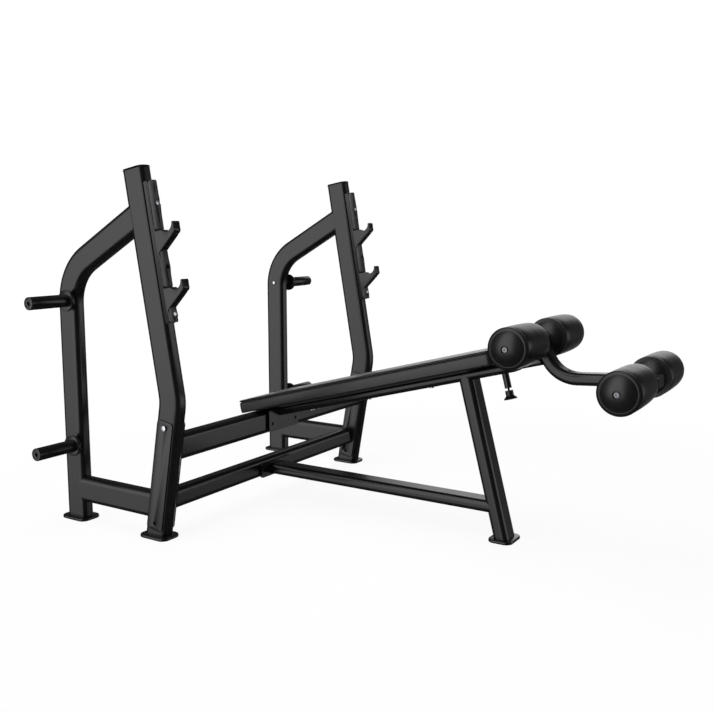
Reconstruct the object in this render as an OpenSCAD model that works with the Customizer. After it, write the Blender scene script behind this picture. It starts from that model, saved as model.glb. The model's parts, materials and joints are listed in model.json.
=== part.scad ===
// Decline press bench: two side frames with stepped bar catches and plate horns,
// a sloping padded bench on a spine beam, and a pinned carriage with foam leg rollers.
// Millimetres, +Z up, +X from the rack end to the roller end, the floor at Z = 0.

/* [Side frames] */
// Distance between the centre planes of the two side frames
frame_spacing = 1160; // [1000:10:1240]
// Depth of the side frame tube, in the plane of the frame
tube_d = 90; // [80:1:100]
// Width of the side frame tube, across the frame
tube_w = 50; // [46:1:60]
// Outer corner radius of the side frame tube
tube_r = 18.5; // [12:0.5:20]
// Wall of the steel tubes
tube_t = 3; // [2:0.5:4]
// Distance on the floor from the rear column to the front upright
base_run = 381; // [360:1:420]
// Height at which the centre lines of the column and of its arm would meet
column_knee_z = 863; // [840:1:880]
// Rise of the column's arm above the horizontal
arm_rise = 29.3; // [27:0.1:31]
// Centre line radius of the rear columns' bends
column_bend_r = 178; // [150:1:190]
// Centre line radius of the front uprights' bends
bend_r = 155; // [130:1:170]
// Lean of both halves of the front upright
upright_lean = 9.9; // [8:0.1:11]
// Height of the front upright's bend
upright_knee_z = 463; // [455:1:480]
// Length of the upright from its bend to its top
upright_upper = 752; // [730:1:780]
// Height of the side beam's centre line
side_beam_z = 110; // [100:1:130]

/* [Feet and caps] */
// Length of a side frame foot plate
foot_l = 120; // [110:1:140]
// Width of a side frame foot plate
foot_w = 86; // [74:1:100]
// Corner radius of the foot plates
foot_r = 26; // [10:1:30]
// Thickness of the foot plates
foot_t = 10; // [6:1:12]
// Thickness of the visible head of a tube cap
cap_t = 4; // [2:0.5:6]
// Length of a cap's skirt inside its tube
cap_skirt = 12; // [8:1:12]

/* [Bar catches] */
// Width of the catch plate
catch_w = 31; // [26:1:34]
// Thickness of the catch in front of the upright
catch_t = 7; // [5:0.5:9]
// Distance of the catch's top below the upright's top
catch_drop = 51; // [36:1:60]
// Length of the catch
catch_l = 451; // [446:1:470]
// Distance from the catch's top down to the first saddle's centre
saddle_drop = 141; // [138:1:143]
// Distance between the two saddles
saddle_pitch = 181; // [178:1:184]
// Radius of a saddle
saddle_r = 27; // [25:0.5:28]
// Thickness of a hook's tip
tip_t = 8.5; // [7:0.5:11]
// Distance from the upright's front face to the saddle's centre
saddle_reach = 53.5; // [52:0.5:56]
// Thickness of a hook below its saddle
hook_under = 20; // [17:1:22]
// Radius of the fillet under a hook
hook_fillet_r = 26; // [16:1:30]
// Thickness of the plastic guards
guard_t = 18.5; // [15:0.5:20]
// Width of the plastic guards
guard_w = 33; // [31:1:36]
// Rounding of the guards' front edges
guard_r = 14; // [3:0.5:15]
// Rounding of the guards' ends beside a hook, seen from the front
guard_end_r = 11; // [6:0.5:14]
// Radius of the sunk holes for the guard screws' heads
guard_bore_r = 7.5; // [7:0.1:8]
// Distance of the first guard's screw below the catch's top
high_screw_drop = 72; // [50:1:90]
// Distance of the second guard's screw below the catch's top
mid_screw_drop = 274; // [260:1:300]
// Distance of the third guard's screw below the catch's top
low_screw_drop = 424; // [410:1:434]

/* [Plate horns] */
// Radius of a horn
horn_r = 21.5; // [18:0.5:24]
// Length of a horn in front of its collar
horn_l = 148; // [120:1:220]
// Distance of the horns' axes in front of the column's centre line
horn_x = 28.5; // [24:0.5:34]
// Height of the upper horns
horn_high_z = 773; // [700:1:780]
// Height of the lower horns
horn_low_z = 272; // [220:1:320]
// Length of the mounting block between column and collar, along the column's depth
horn_base_l = 52; // [44:1:60]
// Height of the mounting block
horn_base_h = 44; // [30:1:48]
// Thickness of the mounting block
horn_base_t = 17; // [15:0.5:22]
// Distance of the block's middle in front of the column's centre line
horn_base_x = 12; // [6:1:14]
// Corner radius of a horn's mounting block
horn_base_r = 14; // [4:1:20]
// Radius of the recess in a horn's end
horn_hole_r = 5; // [3:0.5:7]
// Depth of the recess in a horn's end
horn_hole_l = 12; // [6:1:20]
// Radius of the bolts that hold the blocks
horn_bolt_r = 4; // [3:0.5:5]
// Radius of those bolts' heads
horn_head_r = 6.5; // [6:0.5:8]
// Height of those bolts' heads
horn_head_h = 4; // [3:0.5:5]
// Distance of those bolts in front of the column's centre line
horn_bolt_x = 2.5; // [0:0.5:3]
// Radius of a horn's collar
collar_r = 36; // [30:0.5:42]
// Thickness of a horn's collar
collar_t = 10; // [6:0.5:14]

/* [Cross beams] */
// Thickness of the cross beams from front to back
cross_t = 50; // [44:1:54]
// Height of the upper cross beam's section
cross_high_h = 88; // [80:1:90]
// Height of the upper cross beam's centre line
cross_high_z = 305; // [296:1:306]
// Height of the lower cross beam's section
cross_low_h = 70; // [60:1:76]
// Height of the lower cross beam's centre line
cross_low_z = 122; // [115:1:128]
// Width of the bolted plates on the uprights
joint_plate_w = 67; // [60:1:76]
// Thickness of the plates between the uprights and the cross beams
end_plate_t = 8; // [6:1:10]
// Thickness of the outer backing plates
outer_plate_t = 4; // [3:0.5:6]
// Corner radius of the bolted plates
plate_r = 12; // [6:1:20]
// Distance up the upright at which the bolted plates start
plate_low_s = 30; // [24:1:34]
// Distance up the upright at which the bolted plates end
plate_high_s = 407; // [400:1:420]
// Distance up the upright of the lower bolt
bolt_low_s = 53; // [46:1:60]
// Distance up the upright of the upper bolt
bolt_high_s = 385; // [374:1:392]
// Thickness of the bench's flanges
flange_t = 10; // [8:1:12]
// Width of the bench's flanges
flange_w = 180; // [176:1:200]
// Height of the bench's upper flange
flange_high_h = 82; // [70:1:84]
// Height of the upper flange's middle above its cross beam's centre line
flange_high_dz = 4; // [2:1:4]
// Height of the bench's lower flange
flange_low_h = 54; // [46:1:54]
// Height of the lower flange's middle above its cross beam's centre line
flange_low_dz = -7; // [-8:1:-5]

/* [Bench] */
// Slope of the bench
bench_angle = 14.7; // [13:0.1:15.5]
// Height of the spine beam's underside where it meets its flange
bench_head_z = 321; // [312:1:326]
// Width of the spine beam
beam_w = 80; // [76:1:90]
// Depth of the spine beam
beam_h = 34.5; // [33:0.5:38]
// Corner radius of the spine beam
beam_r = 14; // [11:0.5:16]
// Length of the spine beam
beam_l = 961; // [940:1:990]
// Distance of the leg from the pull pin, towards the head end
leg_before_pin = 128; // [117:1:177]
// Depth of the leg's section
leg_d = 50; // [44:1:56]
// Length of the leg's foot plate
leg_foot_l = 84; // [76:1:100]
// Width of the leg's foot plate
leg_foot_w = 108; // [100:1:130]
// Height of the centre beam's centre line
centre_z = 112; // [105:1:124]
// Depth of the centre beam
centre_h = 40; // [36:1:46]
// Thickness of the board under the pad
board_t = 5.5; // [4:0.5:8]
// Where the board starts, measured along the beam
board_u = 95; // [60:1:110]
// Distance of the board's end from the beam's mouth
board_back = 97; // [60:1:160]
// Distance that the pad hangs over the head end of the beam
pad_over = 80; // [60:1:100]
// Distance of the pad's end from the beam's mouth
pad_back = 15; // [0:1:60]
// Width of the pad
pad_w = 290; // [250:1:320]
// Thickness of the pad at its sides
pad_side = 45; // [35:1:55]
// Rise of the pad's crown above its side seam
pad_crown = 7; // [4:0.5:12]

/* [Roller carriage] */
// Wall of the plastic liner in the beam's mouth
liner_t = 2; // [1.5:0.5:3]
// Length of the liner
liner_l = 90; // [70:1:110]
// Gap between the liner and the sliding tube
slide_gap = 0.3; // [0.2:0.1:0.5]
// Length of sliding tube inside the beam with the carriage fully in
slide_in = 300; // [280:1:330]
// Wall of the sliding tube
slide_t = 2.5; // [2:0.5:3]
// Distance between two pin holes of the sliding tube
hole_pitch = 40; // [30:1:42]
// Number of pin holes
hole_count = 5; // [3:1:5]
// Distance of the upper roller from the beam's mouth
roller_out = 95; // [89:1:119]
// Height of the upper roller above the beam's underside
roller_w = 83; // [78:1:90]
// Depth of the bent roller arm
arm_d = 38; // [34:1:42]
// Width of the bent roller arm
arm_w = 60; // [50:1:64]
// Corner radius of the bent roller arm
arm_r = 14; // [10:0.5:16]
// Fall of the arm's upper part below the horizontal
arm_fall = 60.9; // [58:0.1:64]
// Rise of the arm's lower part above the horizontal
arm_lift = 3.5; // [0:0.1:6]
// Centre line radius of the arm's bend
arm_bend_r = 104; // [95:1:115]
// Distance from the upper roller to the arm's corner
arm_drop = 132; // [126:1:140]
// Distance from the arm's corner to the lower roller
arm_reach = 261; // [240:1:290]
// Length of arm beyond the upper roller's axle
arm_top_end = 28; // [28:1:34]
// Length of arm beyond the lower roller's axle
arm_low_end = 46; // [30:1:56]

/* [Rollers] */
// Radius of the axles inside the rollers
axle_r = 12.5; // [10:0.5:14]
// Radius of the axles between the rollers
axle_mid_r = 15; // [14.5:0.5:16]
// Largest radius of the foam
foam_r = 64; // [60:0.5:70]
// Length of the foam
foam_l = 184; // [160:1:200]
// Distance of the rollers from the bench's centre plane
roller_gap = 67; // [62:1:80]
// Radius of the cap's flange
hub_flange_r = 63.5; // [56:0.5:66]
// Thickness of the cap's flange
hub_flange_t = 8; // [6:0.5:10]
// Radius of the cap's dome
dome_r = 52; // [44:0.5:56]
// Height of the dome in front of the flange
dome_h = 23.5; // [20:0.5:26]
// Outer radius of the sleeve that carries the foam
sleeve_r = 17; // [15.5:0.5:20]
// Running clearance of the rollers on their axles
run_gap = 0.05; // [0.02:0.01:0.1]
// Radius of the roller screws' heads
roller_head_r = 7.4; // [7:0.1:9]
// Radius of the recesses in the domes
recess_r = 11.4; // [10:0.1:12]
// Depth of the recesses in the domes
recess_l = 6; // [5:0.5:8]

/* [Pull pin] */
// Distance of the pull pin from the beam's mouth
pin_back = 44; // [36:1:56]
// Radius of the pin's nose
pin_r = 5; // [4:0.5:6]
// Travel of the pin
pin_travel = 7.5; // [6:0.5:8]
// Outer radius of the pin's housing
housing_r = 11.4; // [10.5:0.1:13]
// Length of the pin's housing
housing_l = 48.5; // [44:0.5:54]
// Radius of the knob
knob_r = 13; // [12:0.5:15]
// Radius of the knob's flared rim
knob_rim_r = 22.2; // [18:0.1:26]
// Length of the knob
knob_l = 28; // [24:0.5:34]

/* [Fasteners] */
// Radius of the frame bolts
bolt_r = 6; // [5:0.5:6]
// Radius of a frame bolt's head
bolt_head_r = 9; // [8:0.5:11]
// Height of a frame bolt's head
bolt_head_h = 5; // [3:0.5:7]
// Gap around a bolt in its hole
bolt_gap = 0.2; // [0.1:0.1:0.5]
// Radius of the pad screws
pad_screw_r = 4; // [3:0.5:5]
// Distance of the pad screws from the beam's centre plane
pad_screw_y = 22; // [18:1:24]

/* [Hidden] */
$fn = 64;
cut = 400;

seam = 0.1;
seam_lap = 1;
coped_step = 0.3;
coped_w = tube_w - 2 * coped_step;
side_y = frame_spacing / 2;

// Points of a frame's centre lines are [x, z]; angles are degrees above +X.
function dir(a) = [cos(a), sin(a)];
function side(a) = [sin(a), -cos(a)];
function tangent(r, turn) = r * tan(abs(turn) / 2);

// Distances along the spine beam from its head end
roller_u = beam_l + roller_out;
pin_u = beam_l - pin_back;
leg_u = pin_u - leg_before_pin;
board_l = beam_l - board_back - board_u;
pad_l = pad_over + beam_l - pad_back;

// Roller arm, from its upper axle to its corner and on to its lower axle
arm_turn = arm_fall + arm_lift;
upper_axle_rel = dir(bench_angle) * roller_u - side(bench_angle) * roller_w;
arm_corner_rel = upper_axle_rel + dir(-arm_fall) * arm_drop;
lower_axle_rel = arm_corner_rel + dir(arm_lift) * arm_reach;

// The cross beams stand on the uprights' centre line, and the bench on their flanges
function upright_run(z) = base_run + (z - foot_t) * tan(upright_lean);
cross_high_run = upright_run(cross_high_z);
cross_low_run = upright_run(cross_low_z) - 5;
bench_run = cross_high_run + cross_t / 2 + flange_t;

// The origin is the middle of the part's length, on the floor
column_x = -(bench_run + lower_axle_rel[0] + foam_r - foot_l / 2) / 2;
cross_high_x = column_x + cross_high_run;
cross_low_x = column_x + cross_low_run;
bench_x = column_x + bench_run;
bench_p = [bench_x, bench_head_z];
upper_axle_p = bench_p + upper_axle_rel;
arm_corner_p = bench_p + arm_corner_rel;
lower_axle_p = bench_p + lower_axle_rel;

// Front upright
lower_a = 90 - upright_lean;
upper_a = 90 + upright_lean;
upright_foot_p = [column_x + base_run, foot_t];
upright_knee_p = [column_x + upright_run(upright_knee_z), upright_knee_z];
lower_l = (upright_knee_z - foot_t) / sin(lower_a);
upright_tube_l = upright_upper - cap_t;
upright_top_p = upright_knee_p + dir(upper_a) * upright_upper;

// Rear column
column_turn = 90 - arm_rise;
column_knee_p = [column_x, column_knee_z];

// Spine beam section and what slides in it
inner_w = beam_w - 2 * tube_t;
inner_h = beam_h - 2 * tube_t;
slide_w = inner_w - 2 * liner_t - 2 * slide_gap;
slide_h = inner_h - 2 * liner_t - 2 * slide_gap;
slide_r = beam_r - tube_t - liner_t;
slide_under = tube_t + liner_t + slide_gap;
arm_lap = 1.5;
pin_clear = 0.6;
pin_hole_r = pin_r + 0.5;

// Catch, in a frame at the upright's top: n out from its centre line, s up along it
catch_top = -catch_drop;
catch_bottom = catch_top - catch_l;
catch_face = tube_d / 2 + catch_t;
saddle_n = tube_d / 2 + saddle_reach;
saddle_s = [catch_top - saddle_drop, catch_top - saddle_drop - saddle_pitch];
guard_face = catch_face + guard_t;
hook_slope = 35.5;
// The line of a hook's underside: its height above the saddle's centre at distance n
function underside(n) = -hook_under / cos(hook_slope) - saddle_r / cos(hook_slope)
    + (n - saddle_n) * tan(hook_slope);
// Guards run from above one saddle's floor to the catch's top or the next hook's underside
saddle_floor = 9;
guard_gap = 0.5;
guard_low = [for (c = saddle_s) c - saddle_r + saddle_floor + guard_gap];
screw_s = [for (d = [high_screw_drop, mid_screw_drop, low_screw_drop]) catch_top - d];

guard_screw_r = 4;
guard_head_h = 5;
screw_sink = [6, 13, 6];
hook_tip_r = 14;
root_d = 7;
root_w = 42;

horn_bolt_in = horn_base_t - 4;
nut_r = 10;
nut_h = 9;
socket_r = 3;
flange_head_sink = 2;
flange_screw_r = 5;
flange_head_r = 6.5;
flange_screw_y = 71;
flange_screw_dz = -8;
flange_r = 6;
centre_r = 16;

// The leg stands square to the beam: where its centre line is at height z
function leg_x(z) = bench_x + leg_u * cos(bench_angle)
    + (bench_head_z + leg_u * sin(bench_angle) - z) * tan(bench_angle);
pad_screw_in = 55;
pad_screw_first = board_u + pad_screw_in;
pad_screw_last = beam_l - slide_in - pad_screw_r - slide_gap;
pad_screw_u = [pad_screw_first, (pad_screw_first + pad_screw_last) / 2, pad_screw_last];
pad_head_h = 3;
pad_r = 22;
pad_inset = 12;
board_r = 12;
board_inset = 1;

// Pull pin, measured down from the beam's underside
pin_tip_w = slide_under - pin_clear;
pin_bore_r = 8;
stem_r = 3.5;
shoulder_w = 9;
shoulder_h = 3;
housing_floor = 3;
spring_wire_r = 0.8;
spring_pitch = 1.5;
knob_rim_h = 2;
knob_flare_h = 9;
knob_top = housing_l + pin_travel + 0.5;

steel = [0.13, 0.13, 0.14];
plastic = [0.07, 0.07, 0.07];
vinyl = [0.1, 0.1, 0.1];
rubber = [0.09, 0.09, 0.09];
zinc = [0.75, 0.76, 0.78];
satin = [0.3, 0.3, 0.32];

// Hubs: their flanges' fronts along Y, and the dome's sphere
run_side = 0.3;
hub_front_t = 12;
dome_step = 4;
flange_lip = 6.5;
axle_screw_l = 20;
roller_head_h = 4;
washer_t = 3;
end_head_h = 5;
dome_big_r = (dome_r * dome_r + pow(dome_h - dome_step, 2)) / (2 * (dome_h - dome_step));
hub_y = [-roller_gap - foam_l - hub_flange_t, roller_gap];
roller_l = foam_l + hub_flange_t;

// Rounded rectangle, a along x and b along y
module rounded(a, b, r) {
    square([a - 2 * r, b], center = true);
    square([a, b - 2 * r], center = true);
    for (i = [-1, 1], j = [-1, 1])
        translate([i * (a / 2 - r), j * (b / 2 - r)]) circle(r);
}

// Section of a tube with wall t, or a full section when t is 0
module section(a, b, r, t) {
    difference() {
        rounded(a, b, r);
        if (t > 0) rounded(a - 2 * t, b - 2 * t, r - t);
    }
}

// Children drawn at point p = [x, z] with their +Z along angle a and +X on its lower side
module at(p, a) {
    translate([p[0], 0, p[1]]) rotate([0, 90 - a, 0]) children();
}

// A bend that starts at the origin along +Z and turns towards +X, or -X if turn < 0
module bend(r, turn) {
    mirror([turn < 0 ? 1 : 0, 0, 0]) translate([r, 0, 0]) rotate([90, 0, 180])
        rotate_extrude(angle = abs(turn)) translate([r, 0]) children();
}

// A tube a x b with corners r and wall t, bent once at radius bend: l1 before and l2 after
// the corner at point p, which comes in at angle a0 and turns by turn (clockwise if > 0).
// The bend stands proud of the straight lengths by seam, and they reach into it.
module bent_tube(p, a0, turn, bend, l1, l2, a, b, r, t) {
    tl = tangent(bend, turn) - seam_lap;
    at(p - dir(a0) * l1, a0) linear_extrude(l1 - tl) section(a, b, r, t);
    at(p - dir(a0) * (tl + seam_lap), a0) bend(bend, turn)
        section(a + 2 * seam, b + 2 * seam, r + seam, t > 0 ? t + 2 * seam : 0);
    at(p + dir(a0 - turn) * tl, a0 - turn) linear_extrude(l2 - tl) section(a, b, r, t);
}

// Children at both sides: on the left as drawn, and mirrored on the right
module on_side(s) {
    mirror([0, s > 0 ? 1 : 0, 0]) translate([0, -side_y, 0]) children();
}

// Children in the bench's frame: +X up along the beam, +Z square to it, 0 at its underside
module bench() {
    translate([bench_x, 0, bench_head_z]) rotate([0, -bench_angle, 0]) children();
}

module below(z) {
    translate([-2 * cut, -2 * cut, z - 4 * cut]) cube(4 * cut);
}

// Outer shapes, also used to cope the tubes that meet them
module upright_shape(t) {
    difference() {
        bent_tube(upright_knee_p, lower_a, -2 * upright_lean, bend_r,
            lower_l + tube_d, upright_tube_l, tube_d, tube_w, tube_r, t);
        translate([upright_foot_p[0], 0, 0]) below(foot_t);
    }
}

module spine_shape(t) {
    difference() {
        bench() translate([-beam_w, 0, beam_h / 2]) rotate([90, 0, 90])
            linear_extrude(beam_l + beam_w) section(beam_w, beam_h, beam_r, t);
        translate([bench_x - 4 * cut, -2 * cut, 0]) cube(4 * cut);
    }
}

module leg_shape(t) {
    difference() {
        bench() translate([leg_u, 0, -4 * cut]) linear_extrude(4 * cut + beam_h / 2)
            section(leg_d, beam_w, tube_r - 0.5, t);
        translate([bench_x + leg_u, 0, 0]) below(foot_t);
        spine_shape(0);
    }
}

module arm_shape(t) {
    bent_tube(arm_corner_p, -arm_fall, -arm_turn, arm_bend_r,
        arm_drop + arm_top_end, arm_reach + arm_low_end, arm_d, arm_w, arm_r, t);
}

function cross2(a, b) = a[0] * b[1] - a[1] * b[0];
column_arm_l = cross2(upright_knee_p - column_knee_p, dir(upper_a))
    / cross2(dir(arm_rise), dir(upper_a));

// Holes and rods through a side frame, along Y
module across(p, r) {
    translate([p[0], 0, p[1]]) rotate([90, 0, 0]) cylinder(r = r, h = 3 * tube_w, center = true);
}

function plate_p(s) = upright_foot_p + dir(lower_a) * (s - foot_t);

module rear_column(s) {
    color(steel) on_side(s) difference() {
        bent_tube(column_knee_p, 90, column_turn, column_bend_r,
            column_knee_z - foot_t, column_arm_l, tube_d, coped_w, tube_r, tube_t);
        upright_shape(0);
        for (z = [horn_low_z, horn_high_z])
            across([column_x + horn_bolt_x, z], horn_bolt_r + bolt_gap);
    }
}

module front_upright(s) {
    color(steel) on_side(s) difference() {
        upright_shape(tube_t);
        for (d = [bolt_low_s, bolt_high_s]) across(plate_p(d), bolt_r + bolt_gap);
    }
}

module side_beam(s) {
    color(steel) on_side(s) difference() {
        at([column_x, side_beam_z], 0) linear_extrude(base_run + tube_t)
            section(tube_d, coped_w - 2 * coped_step, tube_r, tube_t);
        upright_shape(0);
        at([column_x, 0], 90) linear_extrude(column_knee_z - 2 * column_bend_r)
            rounded(tube_d, coped_w, tube_r);
    }
}

module foot(l, w) {
    color(steel) linear_extrude(foot_t) rounded(l, w, foot_r);
}

module rear_foot(s) {
    on_side(s) translate([column_x, 0, 0]) foot(foot_l, foot_w);
}

module front_foot(s) {
    on_side(s) translate([upright_foot_p[0], 0, 0]) foot(foot_l, foot_w);
}

// A cap with a visible head on a tube's end; its skirt fills the tube's bore
module tube_cap(a, b, r) {
    linear_extrude(cap_t) rounded(a, b, r);
    translate([0, 0, -cap_skirt]) linear_extrude(cap_skirt)
        rounded(a - 2 * tube_t, b - 2 * tube_t, r - tube_t);
}

module upright_cap(s) {
    color(plastic) on_side(s) at(upright_top_p - dir(upper_a) * cap_t, upper_a)
        tube_cap(tube_d, tube_w, tube_r);
}

// An outline of [n, s] points extruded w wide about the frame's centre plane
module catch_plane(w) {
    at(upright_top_p, upper_a) translate([0, w / 2, 0]) rotate([90, 0, 0])
        linear_extrude(w) children();
}

// A cross section of the catch, extruded from s0 over length l
module catch_section(s0, l) {
    at(upright_top_p + dir(upper_a) * s0, upper_a) linear_extrude(l) children();
}

// One hook, with its saddle's centre at the origin
module hook_outline() {
    tip_n = saddle_r + tip_t;
    face_n = catch_face - saddle_n;
    round_n = tip_n - hook_tip_r;
    fillet_s = underside(catch_face + hook_fillet_r) - hook_fillet_r / cos(hook_slope);
    difference() {
        union() {
            polygon([
                [face_n - 1, fillet_s], [face_n, fillet_s],
                [face_n + hook_fillet_r * (1 - sin(hook_slope)),
                    fillet_s + hook_fillet_r * cos(hook_slope)],
                [round_n, underside(saddle_n + round_n)],
                [tip_n - 1, -saddle_r + 2], [tip_n, -4], [tip_n - 1, -1], [tip_n - 3, 0],
                [0, 0], [0, -saddle_r + saddle_floor], [face_n - 1, -saddle_r + saddle_floor]]);
            translate([round_n, -saddle_r + 2]) circle(hook_tip_r);
        }
        translate([face_n + hook_fillet_r, fillet_s]) circle(hook_fillet_r);
        circle(saddle_r);
        translate([-saddle_r, 0]) square([2 * saddle_r, saddle_r]);
    }
}

module bar_catch(s) {
    color(steel) on_side(s) difference() {
        union() {
            catch_plane(catch_w) {
                translate([tube_d / 2 - root_d, catch_bottom])
                    square([catch_t + root_d, catch_l]);
                for (c = saddle_s) translate([saddle_n, c]) hook_outline();
            }
            catch_section(catch_bottom, catch_l) polygon([
                [tube_d / 2 - root_d, -root_w / 2], [catch_face - 2, -catch_w / 2],
                [catch_face - 2, catch_w / 2], [tube_d / 2 - root_d, root_w / 2]]);
        }
        upright_shape(0);
        for (d = screw_s) square_hole(d, guard_screw_r, 0, guard_face + 1);
    }
}

// A round rod of radius r square to the upright's face, from n0 to n1 at height s
module square_hole(s, r, n0, n1) {
    at(upright_top_p + dir(upper_a) * s, upper_a)
        translate([n0, 0, 0]) rotate([0, 90, 0]) cylinder(r = r, h = n1 - n0);
}

// A guard's cross section, its back at n = 0
module guard_section() {
    translate([0, -guard_w / 2]) square([guard_t - guard_r, guard_w]);
    translate([0, guard_r - guard_w / 2]) square([guard_t, guard_w - 2 * guard_r]);
    for (j = [-1, 1])
        translate([guard_t - guard_r, j * (guard_w / 2 - guard_r)]) circle(guard_r);
}

// One guard from s0 to s1: its ends are rounded, and it is cut clear of the hook above it
module guard(s0, s1, hook_s) {
    intersection() {
        difference() {
            catch_plane(2 * catch_w) translate([catch_face, s0]) square([guard_t, s1 - s0]);
            catch_plane(3 * catch_w) translate([saddle_n, hook_s - guard_gap]) hook_outline();
        }
        catch_section(s0 - 1, s1 - s0 + 2) translate([catch_face, 0]) guard_section();
        at(upright_top_p + dir(upper_a) * (s0 + s1) / 2, upper_a) translate([catch_face, 0, 0])
            rotate([0, 90, 0]) linear_extrude(guard_t) rounded(s1 - s0, guard_w, guard_end_r);
    }
}

module catch_guards(s) {
    color(plastic) on_side(s) difference() {
        union() {
            guard(guard_low[0], catch_top, catch_top + tube_d);
            guard(guard_low[1], saddle_s[0] + underside(guard_face), saddle_s[0]);
            guard(catch_bottom, saddle_s[1] + underside(guard_face), saddle_s[1]);
        }
        for (i = [0:2]) {
            square_hole(screw_s[i], guard_screw_r, 0, guard_face + 1);
            square_hole(screw_s[i], guard_bore_r, guard_face - screw_sink[i], guard_face + 1);
        }
    }
}

module catch_screws() {
    color(zinc) for (s = [-1, 1], i = [0:2]) on_side(s) difference() {
        union() {
            square_hole(screw_s[i], guard_screw_r, tube_d / 2 - 2 * tube_t,
                guard_face - screw_sink[i]);
            square_hole(screw_s[i], guard_bore_r - bolt_gap, guard_face - screw_sink[i],
                guard_face - screw_sink[i] + guard_head_h);
        }
        upright_shape(0);
    }
}

// Children at height z on a horn's side of a column, with +Z outwards: x in front of the
// column's centre line and out from its outer face
module horn_place(x, z, out) {
    translate([column_x + x, -tube_w / 2 - out, z]) rotate([90, 0, 0]) children();
}

module horn(s, z) {
    color(steel) on_side(s) horn_place(horn_x, z, horn_base_t + collar_t) difference() {
        cylinder(r = horn_r, h = horn_l);
        translate([0, 0, horn_l - horn_hole_l]) cylinder(r = horn_hole_r, h = horn_hole_l + 1);
    }
}

// Collars with the blocks behind them, which are drilled for their bolts
module horn_collars() {
    color(steel) for (s = [-1, 1], z = [horn_low_z, horn_high_z]) on_side(s) difference() {
        union() {
            horn_place(horn_base_x, z, 0) linear_extrude(horn_base_t + collar_t / 2)
                rounded(horn_base_l, horn_base_h, horn_base_r);
            horn_place(horn_x, z, horn_base_t) cylinder(r = collar_r, h = collar_t);
        }
        horn_place(horn_bolt_x, z, -1) cylinder(r = horn_bolt_r, h = horn_bolt_in + 1);
    }
}

// Bolts from the columns' inner faces into the horns' blocks
module horn_bolts() {
    color(zinc) for (s = [-1, 1], z = [horn_low_z, horn_high_z]) on_side(s) {
        horn_place(horn_bolt_x, z, -tube_w) cylinder(r = horn_bolt_r, h = tube_w + horn_bolt_in);
        horn_place(horn_bolt_x, z, -tube_w - horn_head_h)
            cylinder(r = horn_head_r, h = horn_head_h);
    }
}

// A plate along the upright's lower half, from y0 over thickness t
module joint_plate(y0, t) {
    difference() {
        translate([0, y0 + t, 0]) at(plate_p(0), lower_a) rotate([90, 0, 0])
            linear_extrude(t) translate([0, (plate_low_s + plate_high_s) / 2])
                rounded(joint_plate_w, plate_high_s - plate_low_s, plate_r);
        for (d = [bolt_low_s, bolt_high_s]) across(plate_p(d), bolt_r + bolt_gap);
    }
}

module end_plate(s) {
    color(steel) on_side(s) joint_plate(tube_w / 2, end_plate_t);
}

module outer_plate(s) {
    color(steel) on_side(s) joint_plate(-tube_w / 2 - outer_plate_t, outer_plate_t);
}

// Upper bolts clamp the plates; the lower ones are headless and sunk at both ends
module frame_bolts() {
    color(zinc) for (s = [-1, 1]) on_side(s) {
        rod(plate_p(bolt_high_s), bolt_r, -tube_w / 2 - outer_plate_t,
            tube_w / 2 + end_plate_t + nut_h);
        rod(plate_p(bolt_high_s), bolt_head_r, -tube_w / 2 - outer_plate_t - bolt_head_h,
            -tube_w / 2 - outer_plate_t);
        rod(plate_p(bolt_low_s), bolt_r + bolt_gap, 1 - tube_w / 2, tube_w / 2 + 1);
    }
}

module rod(p, r, y0, y1) {
    translate([p[0], y1, p[1]]) rotate([90, 0, 0]) cylinder(r = r, h = y1 - y0);
}

module frame_nuts() {
    color(zinc) for (s = [-1, 1]) on_side(s) difference() {
        translate([0, tube_w / 2 + end_plate_t + nut_h, 0]) translate([
            plate_p(bolt_high_s)[0], 0, plate_p(bolt_high_s)[1]])
            rotate([90, 0, 0]) cylinder(r = nut_r, h = nut_h, $fn = 6);
        across(plate_p(bolt_high_s), bolt_r);
    }
}

module cross_beam(x, z, h) {
    reach = side_y - tube_w / 2 - end_plate_t;
    color(steel) difference() {
        translate([x, reach, z]) rotate([90, 0, 0]) linear_extrude(2 * reach)
            section(cross_t, h, tube_r, tube_t);
        flange_rods(x, z, flange_screw_r);
    }
}

// The two screw places of the flange on the cross beam at [x, z]
module flange_rods(x, z, r) {
    for (j = [-1, 1]) translate([x, j * flange_screw_y, z + flange_screw_dz])
        rotate([0, 90, 0]) cylinder(r = r, h = cross_t);
}

module flange(x, z, dz, h) {
    color(steel) difference() {
        translate([x + cross_t / 2, 0, z + dz]) rotate([90, 0, 90])
            linear_extrude(flange_t) rounded(flange_w, h, flange_r);
        flange_rods(x, z, flange_screw_r + bolt_gap);
        translate([(cross_t + flange_t) / 2, 0, 0])
            flange_rods(x, z, flange_head_r + bolt_gap);
    }
}

module flange_screws() {
    color(plastic) for (c = [[cross_high_x, cross_high_z], [cross_low_x, cross_low_z]])
        for (j = [-1, 1]) translate([c[0] + cross_t / 2, j * flange_screw_y,
            c[1] + flange_screw_dz]) rotate([0, 90, 0]) difference() {
                union() {
                    translate([0, 0, -tube_t]) cylinder(r = flange_screw_r,
                        h = tube_t + flange_t / 2);
                    translate([0, 0, flange_t / 2]) cylinder(r = flange_head_r,
                        h = flange_t / 2 - flange_head_sink);
                }
                translate([0, 0, flange_t / 2]) cylinder(r = socket_r, h = flange_t, $fn = 6);
            }
}

module spine_beam() {
    color(steel) difference() {
        spine_shape(tube_t);
        bench() translate([pin_u, 0, -1]) cylinder(r = pin_hole_r, h = tube_t + 2);
        pad_screw_places() cylinder(r = pad_screw_r + bolt_gap, h = 2 * beam_h, center = true);
    }
}

module pad_screw_places() {
    for (u = pad_screw_u, j = [-1, 1]) bench() translate([u, j * pad_screw_y, 0]) children();
}

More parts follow.
